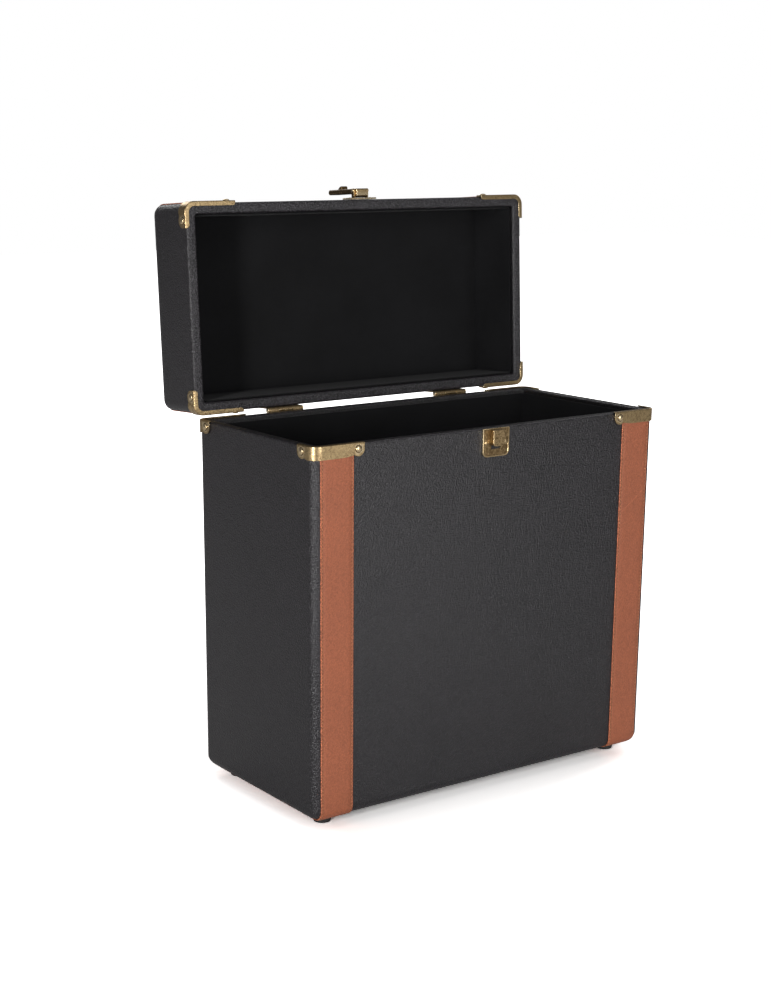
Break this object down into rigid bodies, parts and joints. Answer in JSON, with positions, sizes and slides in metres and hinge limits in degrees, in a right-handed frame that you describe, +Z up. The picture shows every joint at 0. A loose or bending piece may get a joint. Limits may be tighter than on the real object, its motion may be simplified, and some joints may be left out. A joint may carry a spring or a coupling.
{
  "type": "record carrying case",
  "caption": "Leatherette-covered carrying case for 12-inch records with a shallow lid hinged at the back, a hasp latch and a folding handle on the lid.",
  "frame": {"origin": "under the middle of the whole outline with the lid open, on the surface that the feet stand on", "axes": "+Z up, +X to the right of the front face, +Y towards the hinges at the back"},
  "size_m": [0.3612, 0.2626, 0.4968],
  "materials": {
    "leatherette_black": "satin, fine pebble grain",
    "leatherette_brown": "satin, fine pebble grain, stitched edges",
    "lining_black": "matte, short nap",
    "aged_brass": "aged, satin, dark patina in the recesses",
    "foot_rubber": "matte"
  },
  "bodies": {
    "case": {"body_shell": "leatherette_black", "body_lining": "lining_black", "body_band_left": "leatherette_brown", "body_band_right": "leatherette_brown", "body_bracket_front_left": "aged_brass", "body_bracket_front_right": "aged_brass", "body_bracket_back_left": "aged_brass", "body_bracket_back_right": "aged_brass", "body_rivet_front_left_long": "aged_brass", "body_rivet_front_left_short": "aged_brass", "body_rivet_front_right_long": "aged_brass", "body_rivet_front_right_short": "aged_brass", "body_rivet_back_left_long": "aged_brass", "body_rivet_back_left_short": "aged_brass", "body_rivet_back_right_long": "aged_brass", "body_rivet_back_right_short": "aged_brass", "catch_plate": "aged_brass", "catch_screw_left": "aged_brass", "catch_screw_right": "aged_brass", "foot_front_left": "foot_rubber", "foot_front_right": "foot_rubber", "foot_back_left": "foot_rubber", "foot_back_right": "foot_rubber", "hinge_body_leaf_left": "aged_brass", "hinge_pin_left": "aged_brass", "hinge_body_leaf_right": "aged_brass", "hinge_pin_right": "aged_brass", "hinge_body_screw_left_1": "aged_brass", "hinge_body_screw_left_2": "aged_brass", "hinge_body_screw_right_1": "aged_brass", "hinge_body_screw_right_2": "aged_brass"},
    "lid": {"lid_shell": "leatherette_black", "lid_lining": "lining_black", "lid_band_left": "leatherette_brown", "lid_band_right": "leatherette_brown", "lid_bracket_front_left": "aged_brass", "lid_bracket_front_right": "aged_brass", "lid_bracket_back_left": "aged_brass", "lid_bracket_back_right": "aged_brass", "lid_rivet_front_left_long": "aged_brass", "lid_rivet_front_left_short": "aged_brass", "lid_rivet_front_right_long": "aged_brass", "lid_rivet_front_right_short": "aged_brass", "lid_rivet_back_left_long": "aged_brass", "lid_rivet_back_left_short": "aged_brass", "lid_rivet_back_right_long": "aged_brass", "lid_rivet_back_right_short": "aged_brass", "hinge_lid_leaf_left": "aged_brass", "hinge_lid_leaf_right": "aged_brass", "hinge_lid_screw_left_1": "aged_brass", "hinge_lid_screw_left_2": "aged_brass", "hinge_lid_screw_right_1": "aged_brass", "hinge_lid_screw_right_2": "aged_brass", "hasp_base": "aged_brass", "hasp_pin": "aged_brass", "handle_mount_left": "aged_brass", "handle_mount_right": "aged_brass"},
    "hasp": {"hasp_lever": "aged_brass"},
    "handle": {"handle_grip": "leatherette_brown"}
  },
  "joints": [
    {"name": "lid_hinge", "type": "hinge", "parent": "case", "child": "lid", "pos_m": [0, 0.04839, 0.31255], "axis": [1, 0, 0], "range_deg": [0, 93.2]},
    {"name": "hasp_hinge", "type": "hinge", "parent": "lid", "child": "hasp", "pos_m": [0, 0.06517, 0.49355], "axis": [1, 0, 0], "range_deg": [0, 180]},
    {"name": "handle_pivot", "type": "hinge", "parent": "lid", "child": "handle", "pos_m": [0, 0.12526, 0.39669], "axis": [1, 0, 0], "range_deg": [-3.2, 176.8]}
  ]
}
